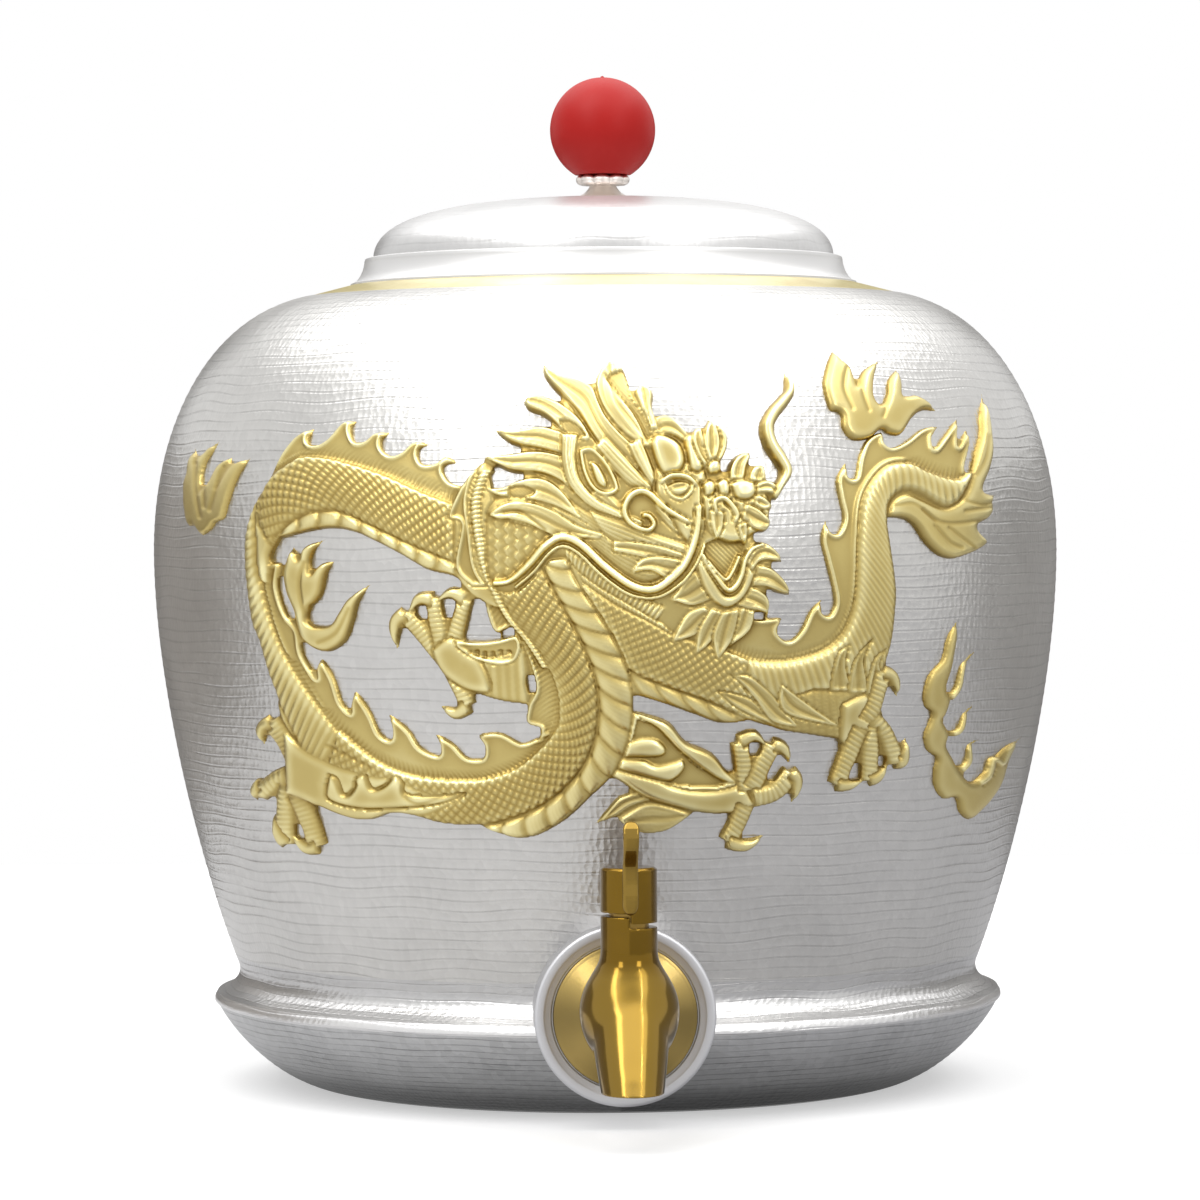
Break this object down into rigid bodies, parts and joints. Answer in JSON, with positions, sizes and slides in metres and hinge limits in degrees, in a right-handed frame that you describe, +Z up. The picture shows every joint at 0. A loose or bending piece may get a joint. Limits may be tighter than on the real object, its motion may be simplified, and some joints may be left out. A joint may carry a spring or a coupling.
{
  "type": "beverage urn",
  "caption": "Round hammered metal drink urn with a lift-off domed lid, red ball knob, gilt dragon relief and a quarter-turn tap low on the front.",
  "frame": {"origin": "centre of the flat foot, on the surface the urn stands on", "axes": "+Z up along the vessel's axis; the tap points along -Y"},
  "size_m": [0.25, 0.2916, 0.2784],
  "materials": {
    "silver": "hand-hammered satin silver",
    "gilt": "pale gilt, satin with rubbed bright edges",
    "gold": "deep gold plate, polished",
    "red_ball": "satin red",
    "rubber": "black rubber"
  },
  "bodies": {
    "vessel": {"body_shell": "silver", "lip_ring": "silver", "base_pan": "silver", "mouth_ring": "gilt", "dragon": "gilt", "flames": "gilt", "tap_boss": "silver", "front_washer": "rubber", "tap_flange": "gold", "tap_body": "gold", "inner_washer": "rubber", "back_nut": "gold", "port_seal": "rubber", "retaining_clip": "silver"},
    "lid": {"lid_rim": "silver", "lid_dome": "silver", "knob_stem": "silver", "knob_collar": "silver", "knob_ball": "red_ball", "knob_stud": "gold", "knob_washer": "silver", "knob_nut": "silver"},
    "tap_handle": {"valve_core": "gold", "core_o_rings": "rubber", "tap_cap": "gold", "tap_lever": "gold", "cap_setscrew": "gold"}
  },
  "joints": [
    {"name": "lid_lift", "type": "slide", "parent": "vessel", "child": "lid", "axis": [0, 0, 1], "range_m": [0, 0.07]},
    {"name": "tap_turn", "type": "hinge", "parent": "vessel", "child": "tap_handle", "pos_m": [0, -0.14, 0.06], "axis": [0, 0, 1], "range_deg": [0, 90]}
  ]
}
